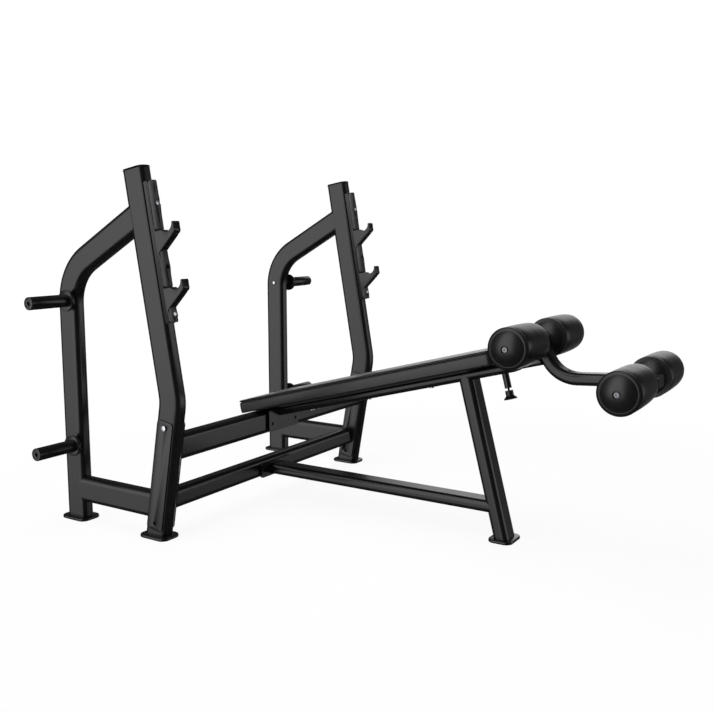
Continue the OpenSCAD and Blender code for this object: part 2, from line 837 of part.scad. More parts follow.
module slide_liner() {
    color(plastic) bench() difference() {
        translate([beam_l - liner_l, 0, beam_h / 2]) rotate([90, 0, 90])
            linear_extrude(liner_l) section(inner_w, inner_h, beam_r - tube_t, liner_t);
        translate([pin_u, 0, 0]) cylinder(r = pin_hole_r, h = beam_h / 2);
    }
}

module centre_beam() {
    color(steel) difference() {
        at([cross_low_x + cross_t / 2 + flange_t, centre_z], 0)
            linear_extrude(leg_x(centre_z) - cross_low_x - cross_t / 2 - flange_t)
                section(centre_h, beam_w, centre_r, tube_t);
        leg_shape(0);
    }
}

module front_leg() {
    color(steel) leg_shape(tube_t);
}

module leg_foot() {
    translate([leg_x(foot_t), 0, 0]) foot(leg_foot_l, leg_foot_w);
}

// Rounded block in the bench's frame, from u over length l, from w over height h
module bench_block(u, l, w, h, y, r) {
    bench() translate([u + l / 2, 0, w]) linear_extrude(h) rounded(l, y, r);
}

// Pad: its sides up to the seam, and the crown on top
module bench_pad() {
    color(vinyl) {
        bench_block(-pad_over, pad_l, beam_h + board_t, pad_side, pad_w, pad_r);
        bench_block(pad_inset - pad_over, pad_l - 2 * pad_inset, beam_h + board_t,
            pad_side + pad_crown, pad_w - 2 * pad_inset, pad_r - pad_inset / 2);
    }
}

module pad_board() {
    color(vinyl) difference() {
        bench_block(board_u, board_l, beam_h, board_t, pad_w - 2 * board_inset, board_r);
        pad_screw_places() cylinder(r = pad_screw_r, h = 2 * beam_h);
    }
}

// Screws up through the beam into the board, with their heads under the beam
module pad_screws() {
    color(zinc) pad_screw_places() {
        cylinder(r = pad_screw_r, h = beam_h + board_t);
        translate([0, 0, -pad_head_h]) cylinder(r = 2 * pad_screw_r, h = pad_head_h);
    }
}

module sliding_tube() {
    color(satin) difference() {
        bench() translate([beam_l - slide_in, 0, beam_h / 2]) rotate([90, 0, 90])
            linear_extrude(slide_in + roller_u - beam_l + arm_d)
                section(slide_w, slide_h, slide_r, slide_t);
        arm_shape(0);
        at(upper_axle_p, -arm_fall) translate([arm_d / 2 - arm_lap - 4 * cut, -2 * cut, -2 * cut])
            cube(4 * cut);
        bench() for (k = [0:hole_count - 1]) translate([pin_u - k * hole_pitch, 0, 0])
            cylinder(r = pin_hole_r, h = beam_h / 2);
    }
}

module roller_arm() {
    color(steel) difference() {
        arm_shape(tube_t);
        for (p = [upper_axle_p, lower_axle_p]) across(p, axle_mid_r);
    }
}

module arm_plugs() {
    color(plastic) {
        at(upper_axle_p - dir(-arm_fall) * arm_top_end, 180 - arm_fall)
            tube_cap(arm_d, arm_w, arm_r);
        at(lower_axle_p + dir(arm_lift) * arm_low_end, arm_lift)
            tube_cap(arm_d, arm_w, arm_r);
    }
}

// Both rollers' ends along an axle: its shoulders hold the hubs apart
axle_left = hub_y[0] - dome_h + hub_front_t + 2 * run_side;
axle_right = hub_y[1] + roller_l + run_side;

module axle(p) {
    color(steel) difference() {
        union() {
            rod(p, axle_r, axle_left, axle_right);
            rod(p, axle_mid_r, -roller_gap + run_side, roller_gap - dome_h - run_side);
        }
        rod(p, bolt_r, axle_left - 1, axle_left + axle_screw_l);
        rod(p, bolt_r, axle_right - axle_screw_l, axle_right + 1);
    }
}

// Half section of the foam from its cap towards +Y: each pair holds the part of its length
// and how far its radius is below the largest one
foam_drop = [[0, 7], [0.02, 3], [0.05, 1], [0.15, 0.2], [0.3, 0], [0.6, 0.5], [0.85, 2],
    [0.94, 3.5], [0.98, 6], [1, 10]];

module foam_profile() {
    polygon(concat([[sleeve_r, 0]], [for (d = foam_drop) [foam_r - d[1], foam_l * d[0]]],
        [[sleeve_r, foam_l]]));
}

// Children spun about an axle, with the profile's y along +Y from y0
module spun(p, y0) {
    translate([p[0], y0, p[1]]) rotate([-90, 0, 0]) rotate_extrude() children();
}

module foam(p, y0) {
    color(rubber) spun(p, y0 + hub_flange_t) foam_profile();
}

// Half section of a hub: cap, dome and sleeve in one, bored for its axle; y = 0 is the
// flange's front, and bore is the dome's opening
module hub_profile(bore) {
    difference() {
        union() {
            square([hub_flange_r, hub_flange_t]);
            translate([0, -dome_step]) square([hub_flange_r - flange_lip, dome_step]);
            difference() {
                translate([0, dome_big_r - dome_h]) circle(dome_big_r);
                translate([-2 * cut, -dome_step]) square(4 * cut);
                translate([-4 * cut, -2 * cut]) square(4 * cut);
            }
            square([sleeve_r, roller_l]);
        }
        translate([-1, -dome_h - 1]) square([bore + 1, cut]);
        translate([-1, axle_left - hub_y[0] - run_side]) square([axle_r + run_gap + 1, cut]);
    }
}

module hub_left(p) {
    color(plastic) spun(p, hub_y[0]) difference() {
        hub_profile(bolt_r + run_gap);
        translate([-1, -dome_h - 1]) square([recess_r + 1, recess_l + 1]);
    }
}

module hub_right(p) {
    color(plastic) spun(p, hub_y[1]) hub_profile(axle_r + run_gap);
}

// Screws in the axles' ends: sunk in the left hubs' domes, with a washer on the right
module roller_screws() {
    color(zinc) for (p = [upper_axle_p, lower_axle_p]) {
        y0 = hub_y[0] - dome_h + recess_l - run_side;
        difference() {
            union() {
                rod(p, bolt_r, y0, axle_left + axle_screw_l);
                rod(p, roller_head_r, y0 - roller_head_h, y0);
            }
            rod(p, socket_r, y0 - roller_head_h - 1, y0 - 1);
        }
        rod(p, bolt_r, axle_right - axle_screw_l, axle_right + 1);
        rod(p, sleeve_r + washer_t, axle_right, axle_right + washer_t);
        rod(p, roller_head_r, axle_right + washer_t, axle_right + washer_t + end_head_h);
    }
}

module pin_housing() {
    color(steel) bench() translate([pin_u, 0, -housing_l]) difference() {
        cylinder(r = housing_r, h = housing_l);
        translate([0, 0, housing_floor]) cylinder(r = pin_bore_r, h = housing_l);
        translate([0, 0, -1]) cylinder(r = stem_r + slide_gap, h = housing_floor + 2);
    }
}

module pull_pin() {
    color(zinc) bench() translate([pin_u, 0, 0]) {
        translate([0, 0, -shoulder_w]) cylinder(r = pin_r, h = shoulder_w + pin_tip_w);
        translate([0, 0, -shoulder_w - shoulder_h])
            cylinder(r = pin_bore_r - slide_gap, h = shoulder_h);
        translate([0, 0, -knob_top - knob_l / 2])
            cylinder(r = stem_r, h = knob_top + knob_l / 2 - shoulder_w - shoulder_h);
    }
}

module pin_knob() {
    color(plastic) bench() translate([pin_u, 0, -knob_top - knob_l]) difference() {
        union() {
            cylinder(r = knob_rim_r, h = knob_rim_h);
            translate([0, 0, knob_rim_h]) cylinder(r1 = knob_rim_r, r2 = knob_r, h = knob_flare_h);
            translate([0, 0, knob_rim_h + knob_flare_h])
                cylinder(r = knob_r, h = knob_l - knob_rim_h - knob_flare_h);
        }
        translate([0, 0, knob_l / 2]) cylinder(r = stem_r, h = knob_l);
    }
}

// Spring around the stem, from the housing's floor to the pin's shoulder, its coils closed
module pin_spring() {
    room = housing_l - housing_floor - shoulder_w - shoulder_h - slide_gap;
    coils = floor(room / spring_pitch);
    color(zinc) bench() translate([pin_u, 0, housing_floor - housing_l]) rotate_extrude()
        for (i = [0:coils - 1])
            translate([pin_bore_r - slide_gap - spring_wire_r, spring_wire_r + i * spring_pitch])
                circle(spring_wire_r, $fn = 24);
}

rear_column(-1);  // rear_column_left
rear_column(1);  // rear_column_right
front_upright(-1);  // front_upright_left
front_upright(1);  // front_upright_right
side_beam(-1);  // side_beam_left
side_beam(1);  // side_beam_right
rear_foot(-1);  // rear_foot_left
rear_foot(1);  // rear_foot_right
front_foot(-1);  // front_foot_left
front_foot(1);  // front_foot_right
upright_cap(-1);  // upright_cap_left
upright_cap(1);  // upright_cap_right
bar_catch(-1);  // bar_catch_left
bar_catch(1);  // bar_catch_right
catch_guards(-1);  // catch_guards_left
catch_guards(1);  // catch_guards_right
catch_screws();
horn(-1, horn_high_z);  // horn_upper_left
horn(1, horn_high_z);  // horn_upper_right
horn(-1, horn_low_z);  // horn_lower_left
horn(1, horn_low_z);  // horn_lower_right
horn_collars();
horn_bolts();
end_plate(-1);  // end_plate_left
end_plate(1);  // end_plate_right
outer_plate(-1);  // outer_plate_left
outer_plate(1);  // outer_plate_right
frame_bolts();
frame_nuts();
cross_beam(cross_high_x, cross_high_z, cross_high_h);  // upper_cross_beam
cross_beam(cross_low_x, cross_low_z, cross_low_h);  // lower_cross_beam
flange(cross_high_x, cross_high_z, flange_high_dz, flange_high_h);  // upper_flange
flange(cross_low_x, cross_low_z, flange_low_dz, flange_low_h);  // lower_flange
flange_screws();
spine_beam();
slide_liner();
centre_beam();
front_leg();
leg_foot();
bench_pad();
pad_board();
pad_screws();
sliding_tube();
roller_arm();
arm_plugs();
axle(upper_axle_p);  // upper_axle
axle(lower_axle_p);  // lower_axle
foam(upper_axle_p, hub_y[0]);  // foam_upper_left
foam(upper_axle_p, hub_y[1]);  // foam_upper_right
foam(lower_axle_p, hub_y[0]);  // foam_lower_left
foam(lower_axle_p, hub_y[1]);  // foam_lower_right
hub_left(upper_axle_p);  // hub_upper_left
hub_right(upper_axle_p);  // hub_upper_right
hub_left(lower_axle_p);  // hub_lower_left
hub_right(lower_axle_p);  // hub_lower_right
roller_screws();
pin_housing();
pull_pin();
pin_knob();
pin_spring();
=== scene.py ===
"""Decline press bench: surface finish, padded parts and small detail over the fixed frame."""
import json
import math

import bmesh
import bpy
import numpy as np
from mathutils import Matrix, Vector


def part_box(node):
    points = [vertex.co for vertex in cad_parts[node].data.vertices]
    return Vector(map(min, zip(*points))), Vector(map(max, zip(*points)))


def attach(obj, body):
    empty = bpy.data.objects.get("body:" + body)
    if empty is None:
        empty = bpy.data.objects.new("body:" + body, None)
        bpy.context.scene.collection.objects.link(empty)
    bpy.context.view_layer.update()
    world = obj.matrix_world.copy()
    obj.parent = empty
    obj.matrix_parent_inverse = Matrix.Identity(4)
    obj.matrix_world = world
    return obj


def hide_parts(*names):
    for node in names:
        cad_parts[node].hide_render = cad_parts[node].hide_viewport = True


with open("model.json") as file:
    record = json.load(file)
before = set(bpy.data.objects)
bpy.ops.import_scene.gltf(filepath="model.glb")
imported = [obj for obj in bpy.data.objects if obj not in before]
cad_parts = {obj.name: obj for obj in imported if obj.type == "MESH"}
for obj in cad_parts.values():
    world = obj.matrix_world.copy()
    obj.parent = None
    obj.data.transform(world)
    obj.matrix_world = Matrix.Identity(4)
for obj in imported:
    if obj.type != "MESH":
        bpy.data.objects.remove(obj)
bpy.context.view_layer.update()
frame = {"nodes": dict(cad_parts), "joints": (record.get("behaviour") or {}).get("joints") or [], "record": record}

MM = 0.001
nodes = frame["nodes"]
joints = {joint["name"]: joint for joint in frame["joints"]}
SLOT = {part["node"]: part["material_slot"] for part in frame["record"]["subparts"]}
SIDES = ("left", "right")
LEVELS = ("upper", "lower")

# The bench's own directions: along its beam, across it, and square to its pad
ALONG = np.array(joints["carriage_slide"]["axis"], float)
ACROSS = np.array([0.0, 1.0, 0.0])
SQUARE = np.cross(ALONG, ACROSS)
SLOPE = math.atan2(ALONG[2], ALONG[0])


# ---------------------------------------------------------------- materials

def colour(code):
    """An sRGB hex code as a linear colour: c/12.92 below 0.04045, else ((c+0.055)/1.055)^2.4."""
    parts = [int(code[i:i + 2], 16) / 255 for i in (1, 3, 5)]
    linear = [c / 12.92 if c <= 0.04045 else ((c + 0.055) / 1.055) ** 2.4 for c in parts]
    return (*linear, 1.0)


def add(tree, kind, settings=None, *feeds, **named):
    """Adds a node of that kind, whose settings are its inputs' values or its own by name.

    Feeds go to its inputs, in order or by name: a socket is linked, and a number is set."""
    made = tree.nodes.new("ShaderNode" + kind)
    for key, value in (settings or {}).items():
        if key in made.inputs:
            made.inputs[key].default_value = value
        else:
            setattr(made, key, value)
    for key, feed in [*enumerate(feeds), *named.items()]:
        if isinstance(feed, bpy.types.NodeSocket):
            tree.links.new(feed, made.inputs[key])
        else:
            made.inputs[key].default_value = feed
    return made


def new_material(name, base, roughness, **sockets):
    """A material with uniform values on its shader's own sockets, and its object coordinates."""
    made = bpy.data.materials.new(name)
    made.use_nodes = True
    tree = made.node_tree
    shader = tree.nodes["Principled BSDF"]
    for key, value in {"Base_Color": colour(base), "Roughness": roughness, **sockets}.items():
        shader.inputs[key.replace("_", " ")].default_value = value
    return made, tree, shader, add(tree, "TexCoord").outputs["Object"]


def mottled(tree, shader, base, other, size, place):
    """Colour that drifts between base and other in soft patches about size metres across."""
    patches = add(tree, "TexNoise", {"Scale": 1 / size, "Detail": 3.0}, Vector=place)
    ramp = add(tree, "ValToRGB", Fac=patches.outputs["Fac"])
    for stop, position, code in zip(ramp.color_ramp.elements, (0.35, 0.65), (base, other)):
        stop.position = position
        stop.color = colour(code)
    tree.links.new(ramp.outputs["Color"], shader.inputs["Base Color"])
    return patches


def varied_roughness(tree, shader, patches, low, high):
    """Roughness that follows the same patches, from low to high."""
    spread = add(tree, "MapRange", {"To Min": low, "To Max": high}, Value=patches.outputs["Fac"])
    tree.links.new(spread.outputs["Result"], shader.inputs["Roughness"])


def raised(tree, shader, height, strength, depth):
    """Bump from a height between 0 and 1 that stands for depth metres."""
    bump = add(tree, "Bump", {"Strength": strength, "Distance": depth}, Height=height)
    tree.links.new(bump.outputs["Normal"], shader.inputs["Normal"])


def powder_coat():
    """Black polyester powder coat on steel tube: orange peel and a satin sheen."""
    made, tree, shader, place = new_material("black_powder_coat", "#0f0f10", 0.3)
    patches = mottled(tree, shader, "#0e0e0f", "#121213", 60 * MM, place)
    varied_roughness(tree, shader, patches, 0.2, 0.28)
    # Orange peel is 1 to 2 mm from crest to crest
    peel = add(tree, "TexNoise", {"Scale": 1 / (1.6 * MM), "Detail": 2.0}, Vector=place)
    raised(tree, shader, peel.outputs["Fac"], 0.12, 0.15 * MM)
    return made


def moulded_nylon(name="black_moulded_nylon", base="#111112", patch="#151516", matte=0.0):
    """Glass-filled nylon, moulded in a spark-eroded tool: matte with a fine grain of 0.9 mm."""
    made, tree, shader, place = new_material(name, base, 0.34 + matte)
    patches = mottled(tree, shader, base, patch, 40 * MM, place)
    varied_roughness(tree, shader, patches, 0.3 + matte, 0.4 + matte)
    grain = add(tree, "TexVoronoi", {"Scale": 1 / (0.9 * MM)}, Vector=place)
    raised(tree, shader, grain.outputs["Distance"], 0.15, 0.08 * MM)
    return made


def zinc_plate():
    """Bright zinc plate on turned steel: a cool grey, uneven over a few millimetres."""
    made, tree, shader, place = new_material("bright_zinc_plate", "#d6d7da", 0.24, Metallic=1.0)
    patches = mottled(tree, shader, "#cccdd0", "#dedfe2", 4 * MM, place)
    varied_roughness(tree, shader, patches, 0.2, 0.34)
    return made


def dull_zinc():
    """Zinc plate that has gone dull: darker and softer than the bright screws."""
    made, tree, shader, place = new_material("dull_zinc_plate", "#77787b", 0.34, Metallic=1.0)
    mottled(tree, shader, "#6e6f72", "#808184", 4 * MM, place)
    return made


def black_oxide_and_painted_shade():
    """Black oxide on socket screws: dark conversion coat with an oily half sheen.

    The same black is also painted shade on zinc bolts and screws where they sit in holes.
    """
    made, tree, shader, place = new_material("black_oxide_steel_and_painted_shade", "#17171a", 0.38, Metallic=0.6)
    mottled(tree, shader, "#121214", "#1d1d20", 3 * MM, place)
    return made


def black_plating():
    """Black-plated slide tube: drawn smooth, and glossier than the coated frame."""
    made, tree, shader, place = new_material("black_plated_tube", "#1b1b1d", 0.2)
    drawn = add(tree, "TexNoise", {"Scale": 1 / (14 * MM), "Detail": 4.0}, Vector=place)
    varied_roughness(tree, shader, drawn, 0.16, 0.26)
    return made


def upholstery_vinyl():
    """Black expanded-vinyl upholstery: leather-like pebble grain with a soft sheen."""
    made, tree, shader, place = new_material("black_upholstery_vinyl", "#141415", 0.34,
                                             Sheen_Weight=0.3, Sheen_Roughness=0.3)
    patches = mottled(tree, shader, "#131314", "#171718", 80 * MM, place)
    varied_roughness(tree, shader, patches, 0.3, 0.4)
    # Pebbles about 1.3 mm across with a finer grain between them, which counts 0.4 of theirs
    pebbles = add(tree, "TexVoronoi", {"Scale": 1 / (1.3 * MM)}, Vector=place)
    grain = add(tree, "TexNoise", {"Scale": 1 / (0.6 * MM), "Detail": 2.0}, Vector=place)
    leather = add(tree, "Math", {"operation": "MULTIPLY_ADD"},
                  grain.outputs["Fac"], 0.4, pebbles.outputs["Distance"])
    raised(tree, shader, leather.outputs["Value"], 0.2, 0.12 * MM)
    return made


def foam_skin():
    """Moulded nitrile foam: a closed matte skin with 0.8 mm pinholes and faint flow marks."""
    made, tree, shader, place = new_material("black_nitrile_foam", "#0d0d0e", 0.32)
    patches = mottled(tree, shader, "#0c0c0d", "#101011", 30 * MM, place)
    varied_roughness(tree, shader, patches, 0.28, 0.36)
    cells = add(tree, "TexNoise", {"Scale": 1 / (0.8 * MM), "Detail": 4.0}, Vector=place)
    raised(tree, shader, cells.outputs["Fac"], 0.2, 0.12 * MM)
    return made


def backing_cloth():
    """Black spunbond stapled under the pad: dull, with pressed ribs 9.4 mm apart."""
    made, tree, shader, place = new_material("black_backing_cloth", "#131313", 0.9)
    # A wave texture of scale 1 has its bands 2 pi / 20 apart
    ribs = add(tree, "TexWave", {"Scale": math.pi / 10 / (9.425 * MM), "Distortion": 2.0},
               Vector=place)
    raised(tree, shader, ribs.outputs["Fac"], 0.3, 0.1 * MM)
    return made


FINISH = {
    "powder_coat": powder_coat(), "plastic": moulded_nylon(), "zinc": zinc_plate(),
    "black_screws": black_oxide_and_painted_shade(), "satin": black_plating(), "vinyl": upholstery_vinyl(),
    "board": backing_cloth(), "foam": foam_skin(), "dull_zinc": dull_zinc(),
    "guard": moulded_nylon("charcoal_moulded_nylon", "#38383a", "#3d3d3f", 0.14)}
# Nodes whose plating or moulding has another shade than their slot's
SHADED = {"roller_screws": "dull_zinc", "pull_pin": "black_screws",
          "catch_guards_left": "guard", "catch_guards_right": "guard"}


def dress_frame():
    """Each CAD node takes the finish of its material slot."""
    for name, node in nodes.items():
        node.data.materials.clear()
        node.data.materials.append(FINISH[SHADED.get(name, SLOT[name])])


# ------------------------------------------------------------------ surfaces

# Points closer than this, in metres, are one
SAME_POINT = 1e-6


def node_box(node):
    """A CAD node's lowest and highest corner."""
    return [np.array(corner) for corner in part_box(node)]


def stand_in(name, mesh, body):
    """An object at the origin for a finished mesh, smooth and on a body."""
    mesh.polygons.foreach_set("use_smooth", np.ones(len(mesh.polygons), bool))
    piece = bpy.data.objects.new(name, mesh)
    bpy.context.scene.collection.objects.link(piece)
    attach(piece, body)
    return piece


def make_piece(name, points, slot, body):
    """A mesh over a grid of points[i, j]: j runs round and closes, i runs end to end.

    Rows that shrink to one point or line are merged, and faces are turned outwards."""
    rows, columns = points.shape[:2]
    i, j = np.meshgrid(np.arange(rows - 1), np.arange(columns), indexing="ij")
    after = (j + 1) % columns
    quads = np.stack([i * columns + j, i * columns + after,
                      (i + 1) * columns + after, (i + 1) * columns + j], -1).reshape(-1, 4)
    mesh = bpy.data.meshes.new(name)
    mesh.from_pydata(points.reshape(-1, 3), [], quads)
    shape = bmesh.new()
    shape.from_mesh(mesh)
    bmesh.ops.remove_doubles(shape, verts=shape.verts, dist=SAME_POINT)
    bmesh.ops.recalc_face_normals(shape, faces=shape.faces)
    shape.to_mesh(mesh)
    shape.free()
    mesh.materials.append(FINISH[slot])
    return stand_in(name, mesh, body)


def spun(profile, centre, steps):
    """A profile of [radius, y] rows turned about the Y axis through centre, [x, z]."""
    turn = np.linspace(0, 2 * math.pi, steps, endpoint=False)
    radius = profile[:, :1]
    x = centre[0] + radius * np.cos(turn)
    z = centre[1] + radius * np.sin(turn)
    y = np.repeat(profile[:, 1:], steps, 1)
    return np.stack([x, y, z], -1)


# Points on each corner of a rounded outline
CORNER_POINTS = 12


def rounded_outline(half_a, half_b, corner):
    """Points round a rectangle with quarter circles for corners, anticlockwise from +a."""
    start = np.arange(4)[:, None] * math.pi / 2
    turn = start + np.linspace(0, math.pi / 2, CORNER_POINTS)
    half_way = start + math.pi / 4
    quadrant = np.sign(np.stack([np.cos(half_way), np.sin(half_way)], -1))
    arc = np.stack([np.cos(turn), np.sin(turn)], -1) * corner
    return (quadrant * [half_a - corner, half_b - corner] + arc).reshape(-1, 2)


# An edge is rounded where its faces turn by this much, and faces flatter than FLAT are joined
SHARP = math.radians(30)
FLAT = math.radians(0.5)


def rounded_copy(node, width):
    """A merged copy of a CAD node, in its place, with its sharp edges rounded over width mm."""
    mesh = nodes[node].data.copy()
    shape = bmesh.new()
    shape.from_mesh(mesh)
    bmesh.ops.remove_doubles(shape, verts=shape.verts, dist=SAME_POINT)
    bmesh.ops.dissolve_limit(shape, angle_limit=FLAT, verts=shape.verts, edges=shape.edges)
    shape.to_mesh(mesh)
    shape.free()
    piece = stand_in("rounded_" + node, mesh, "frame")
    edges = piece.modifiers.new("rounded_edges", "BEVEL")
    edges.width = width * MM
    edges.segments = 3
    edges.limit_method = "ANGLE"
    edges.angle_limit = SHARP
    edges.use_clamp_overlap = False
    edges.harden_normals = True
    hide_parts(node)
    return piece


def painted_shade_copy(node, width, low, high):
    """A rounded copy whose faces between two heights take the black screws' finish as painted shade.

    The fasteners are zinc, and the black band stands for the shade of the holes they sit in.
    """
    mesh = rounded_copy(node, width).data
    mesh.materials.append(FINISH["black_screws"])
    centres = np.empty(3 * len(mesh.polygons), np.float32)
    mesh.polygons.foreach_get("center", centres)
    height = centres[2::3]
    # Painted shade: faces in the band turn black for the shade in the fasteners' holes
    black = (low <= height) & (height < high)
    mesh.polygons.foreach_set("material_index", black.astype(np.int32))


# --------------------------------------------------------------------- pad

# In mm: how far the stuffed low end swells past its board, the corners' radius, and the height
# of the padding over the seam
LOW_OVERHANG, PAD_CORNER, TOP_PANEL = 12.0, 22.0, 9.0
# In mm: the bottom edge's radius and inset, the side's bulge, and how far it leans in at the seam
EDGE_RADIUS, EDGE_INSET, SIDE_BULGE, SIDE_LEAN = 5.0, 1.0, 1.0, 1.5
# The seam's groove and the lip over it, as inset and height over the seam, in mm
SEAM = [(1.7, -2.6), (3.4, -1.9), (7.2, -1.2), (7.4, 0.6), (3.2, 1.2), (1.7, 2.4), (1.9, 4.0),
        (3.4, 5.7), (6.5, 7.1)]
# In mm: the crown's rise over the lip and the length over which it levels out
CROWN_RISE, CROWN_REACH = 1.89, 26.0


def tilted_block(node):
    """Length, width, thickness and middle of a block that lies along the bench's slope."""
    low, high = node_box(node)
    dx, dy, dz = high - low
    length = (dx * math.cos(SLOPE) - dz * math.sin(SLOPE)) / math.cos(2 * SLOPE)
    thick = (dz * math.cos(SLOPE) - dx * math.sin(SLOPE)) / math.cos(2 * SLOPE)
    return length, dy, thick, (low + high) / 2


def pad_profile(half_width, seam):
    """Rows of [inset, height] in mm, from the underside's middle to the top's.

    The bottom edge is a quarter circle. The side bulges by a half sine and leans in to the seam.
    The top rises from its lip by a crown of 1 - exp(-distance / reach)."""
    turn = np.radians([0, 22, 45, 68, 90])
    up = np.linspace(0.08, 0.94, 12)
    inwards = np.array([12, 18, 26, 36, 48, 62, 80, 100, 120, 135, half_width])
    lip_inset, lip_height = SEAM[-1]
    rise = CROWN_RISE * (1 - np.exp((lip_inset - inwards) / CROWN_REACH))
    return np.concatenate([
        [(d, 0) for d in (half_width, 100, 60, 30, 12, 6)],
        np.stack([EDGE_INSET + EDGE_RADIUS * (1 - np.sin(turn)),
                  EDGE_RADIUS * (1 - np.cos(turn))], -1),
        np.stack([EDGE_INSET - SIDE_BULGE * np.sin(math.pi * up) + SIDE_LEAN * up,
                  EDGE_RADIUS + (seam - EDGE_RADIUS) * up], -1),
        np.array(SEAM) + [0, seam],
        np.stack([inwards, seam + lip_height + rise], -1)])


def bench_pad():
    """The pad: a rounded outline that shrinks by each inset of the side profile at its height."""
    length, width, thick, middle = tilted_block("bench_pad")
    length += LOW_OVERHANG * MM
    middle = middle - ALONG * LOW_OVERHANG * MM / 2
    profile = pad_profile(width / 2 / MM, thick / MM - TOP_PANEL)
    # A corner keeps a little radius until it has shrunk to a point
    rings = [rounded_outline(length / 2 - inset * MM, width / 2 - inset * MM,
                             max(PAD_CORNER - inset, 0.3) * MM if inset < PAD_CORNER - 1 else 0.0)
             for inset in profile[:, 0]]
    ring = np.stack(rings)
    height = profile[:, 1, None, None] * MM - thick / 2
    points = middle + ring[..., :1] * ALONG + ring[..., 1:] * ACROSS + height * SQUARE
    piece = make_piece("padded_top", points, "vinyl", "frame")
    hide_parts("bench_pad")


# ------------------------------------------------------------------- rollers

# How far a foam's skin lies inside its largest radius, in mm, along its length from 0 to 1
FOAM_DROP = [(0, 7), (0.02, 3.2), (0.05, 1.8), (0.1, 0.9), (0.16, 0.3), (0.25, 0.0), (0.55, 0.3),
             (0.75, 1.2), (0.88, 2.4), (0.95, 4.0), (0.985, 6.5), (1, 10)]
FOAM_ROWS, FOAM_SIDES, CAP_SIDES = 121, 96, 128
# Radii of a left hub in mm: screw's hole and recess, dome, rim, sleeve in the foam, axle's hole
HUB_BORE, HUB_RECESS, HUB_DOME, HUB_RIM, HUB_SLEEVE, HUB_AXLE = 6.05, 11.4, 52.0, 63.5, 17.0, 12.55
# A left hub along its axle in mm: the dome's height over the flange's face, its edge's height,
# the depth of the screw's recess, the flange's thickness, and the axle's seat under the dome,
# which is negative because it lies before the flange's face
DOME_HEIGHT, DOME_STEP, RECESS_DEPTH, FLANGE_DEPTH, AXLE_SEAT = 23.5, 4.0, 6.0, 8.0, -11.2
# In mm: the width of the groove round the dome, its floor's ends as [distance, depth] from the
# dome's edge, and how far the rim's outer edge lies behind the flange's face
GROOVE_WIDTH, GROOVE_FLOOR, RIM_FALL = 2.2, [(0.2, 0.8), (1.6, 0.8)], 1.5
# Width in mm of the small chamfer round the screw's recess, and the least turn of a crisp edge
RECESS_EDGE, CRISP = 0.8, math.radians(35)


def axle_centre(low, high):
    """Where a roller's axle runs through a box: its middle in X and Z."""
    return (low[0] + high[0]) / 2, (low[2] + high[2]) / 2


def foam_roller(level, hand):
    """A foam sleeve: a profile of radius over length, smoothed, turned about the axle.

    Each of the three smoothings takes half of a row and a quarter of each neighbour."""
    node = "foam_%s_%s" % (level, hand)
    low, high = node_box(node)
    t = np.linspace(0, 1, FOAM_ROWS)
    drop = np.interp(t, *zip(*FOAM_DROP))
    for _ in range(3):
        drop[1:-1] = (drop[:-2] + 2 * drop[1:-1] + drop[2:]) / 4
    skin = np.stack([(high[0] - low[0]) / 2 - drop * MM, low[1] + t * (high[1] - low[1])], -1)
    bore = HUB_SLEEVE * MM
    profile = np.concatenate([[[bore, low[1]]], skin, [[bore, high[1]], [bore, low[1]]]])
    piece = make_piece("roller_" + node, spun(profile, axle_centre(low, high), FOAM_SIDES),
                       "foam", "roller_%s_%s" % (level, hand))
    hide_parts(node)


def hub_cap(level):
    """A left hub: a profile from its screw's recess over the dome and a rolled rim to its sleeve.

    The dome is an arc through its edge and its peak, of radius (edge^2 + rise^2) / (2 rise), and
    the rim falls away as a power of 1.6."""
    node = "hub_%s_left" % level
    low, high = node_box(node)
    rise = DOME_HEIGHT - DOME_STEP
    arc = (HUB_DOME ** 2 + rise ** 2) / (2 * rise)
    r = np.linspace(HUB_RECESS + RECESS_EDGE, HUB_DOME, 40)
    dome = np.stack([r, arc - DOME_HEIGHT - np.sqrt(arc ** 2 - r ** 2)], -1)
    t = np.linspace(0, 1, 14)
    rim_start = HUB_DOME + GROOVE_WIDTH
    rim = np.stack([rim_start + (HUB_RIM - rim_start) * t,
                    (DOME_STEP + RIM_FALL) * t ** 1.6 - DOME_STEP], -1)
    groove = np.array(GROOVE_FLOOR) + [HUB_DOME, -DOME_STEP]
    floor = RECESS_DEPTH - DOME_HEIGHT
    end = (high[1] - low[1]) / MM - DOME_HEIGHT
    profile = np.concatenate([
        [[HUB_BORE, floor], [HUB_RECESS, floor], [HUB_RECESS, dome[0, 1] + RECESS_EDGE]],
        dome, groove, rim,
        [[HUB_RIM, FLANGE_DEPTH - 1], [HUB_RIM - 1, FLANGE_DEPTH], [HUB_SLEEVE, FLANGE_DEPTH],
         [HUB_SLEEVE, end], [HUB_AXLE, end], [HUB_AXLE, AXLE_SEAT], [HUB_BORE, AXLE_SEAT],
         [HUB_BORE, floor]]]) * MM
    profile[:, 1] += low[1] + DOME_HEIGHT * MM
    piece = make_piece("cap_" + node, spun(profile, axle_centre(low, high), CAP_SIDES),
                       SLOT[node], "roller_%s_left" % level)
    piece.data.set_sharp_from_angle(angle=CRISP)
    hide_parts(node)


# -------------------------------------------------------------------- studio

# Soft panels that light the bench and show in its gloss: azimuth from +X towards +Y, height,
# (spans) and (fades) in degrees, then strength
PANELS = [(-112, 24, (22, 26), (21, 34), 1.85), (105, 8, (11, 6), (9, 26), 1.2),
          (34, 0, (18, 10), (7, 9), 1.1), (122, -11, (12, 5), (12, 9), 1.9)]
# Strength of the room's light between its panels
ROOM_DIM = 0.05
# Whiteness of the floor by metres from its middle, where the lamp adds the rest
FLOOR_WHITE = [(1.6, 0.99), (4.5, 1.08)]
FLOOR_REACH = 40.0
# The floor's own colour, linear, as everything but the camera sees it
FLOOR_PAINT = (0.9, 0.9, 0.9, 1)
# Share of the floor's look that is plain paint, which takes the shadow
SHADOW_SHARE = 0.06
